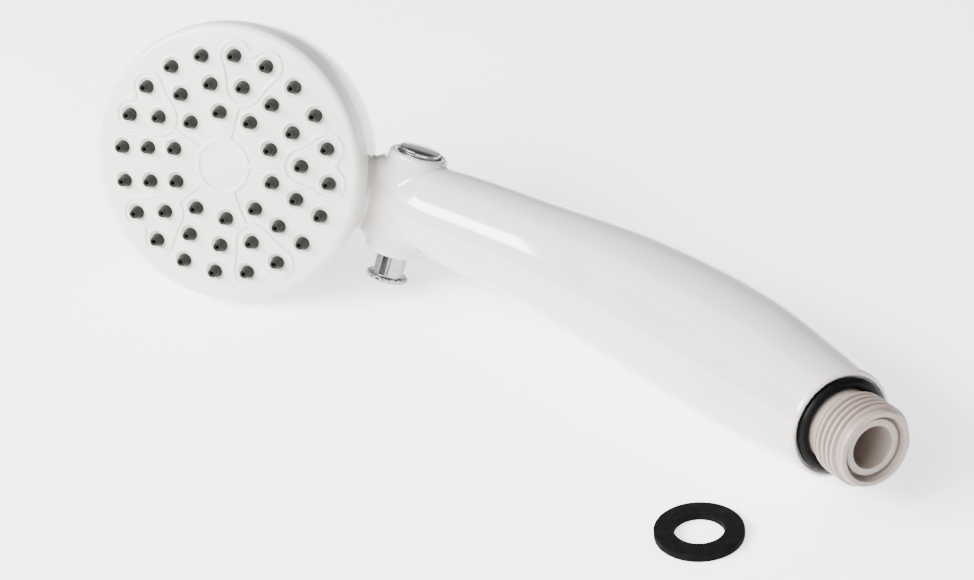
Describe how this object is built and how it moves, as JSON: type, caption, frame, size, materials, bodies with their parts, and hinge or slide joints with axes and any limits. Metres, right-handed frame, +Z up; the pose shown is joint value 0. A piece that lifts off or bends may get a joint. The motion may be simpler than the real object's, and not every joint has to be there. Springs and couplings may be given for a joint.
{
  "type": "handheld shower head",
  "caption": "Handheld shower head with a domed face of rubber spray nozzles, a curved handle, a cross push-through shut-off valve and a threaded hose inlet.",
  "frame": {"origin": "centre of the whole object's box, on the table that it lies on", "axes": "+Z up from the table; the head lies towards -X and +Y and sprays towards -Y; the handle runs towards +X and -Y; the loose washer lies in front, towards -Y"},
  "size_m": [0.202, 0.1902, 0.0811],
  "materials": {
    "body_plastic": "smooth gloss",
    "face_plastic": "satin with fine moulded lines",
    "nozzle_rubber": "matte silicone",
    "inner_plastic": "moulded",
    "seal_rubber": "smooth, slightly oiled",
    "spool_plastic": "turned",
    "chrome": "polished",
    "natural_plastic": "moulded, slightly translucent",
    "regulator_plastic": "moulded",
    "washer_rubber": "matte"
  },
  "bodies": {
    "shower_head": {"body_shell": "body_plastic", "spray_face": "face_plastic", "nozzle_mat": "nozzle_rubber", "jet_plate": "inner_plastic", "flow_baffle": "inner_plastic", "face_seal": "seal_rubber", "inlet_connector": "natural_plastic", "inlet_ring": "seal_rubber", "connector_seal_1": "seal_rubber", "connector_seal_2": "seal_rubber", "flow_regulator": "regulator_plastic", "regulator_seal": "seal_rubber"},
    "valve_slider": {"spool_seal_1": "seal_rubber", "spool_seal_2": "seal_rubber", "spool_seal_3": "seal_rubber"},
    "valve_plunger": {"valve_spool": "spool_plastic", "valve_button": "chrome", "valve_end_knob": "chrome"},
    "washer": {"hose_washer": "washer_rubber"}
  },
  "joints": [
    {"name": "valve_slide", "type": "slide", "parent": "shower_head", "child": "valve_slider", "axis": [0.3512, 0.1631, 0.922], "range_m": [0, 0.0065]},
    {"name": "valve_spin", "type": "hinge", "parent": "valve_slider", "child": "valve_plunger", "pos_m": [-0.01281, 0.05234, 0.02716], "axis": [0.3512, 0.1631, 0.922], "continuous": true},
    {"name": "washer_lift", "type": "slide", "parent": "shower_head", "child": "washer", "axis": [0, 0, 1], "range_m": [0, 0.03]}
  ]
}
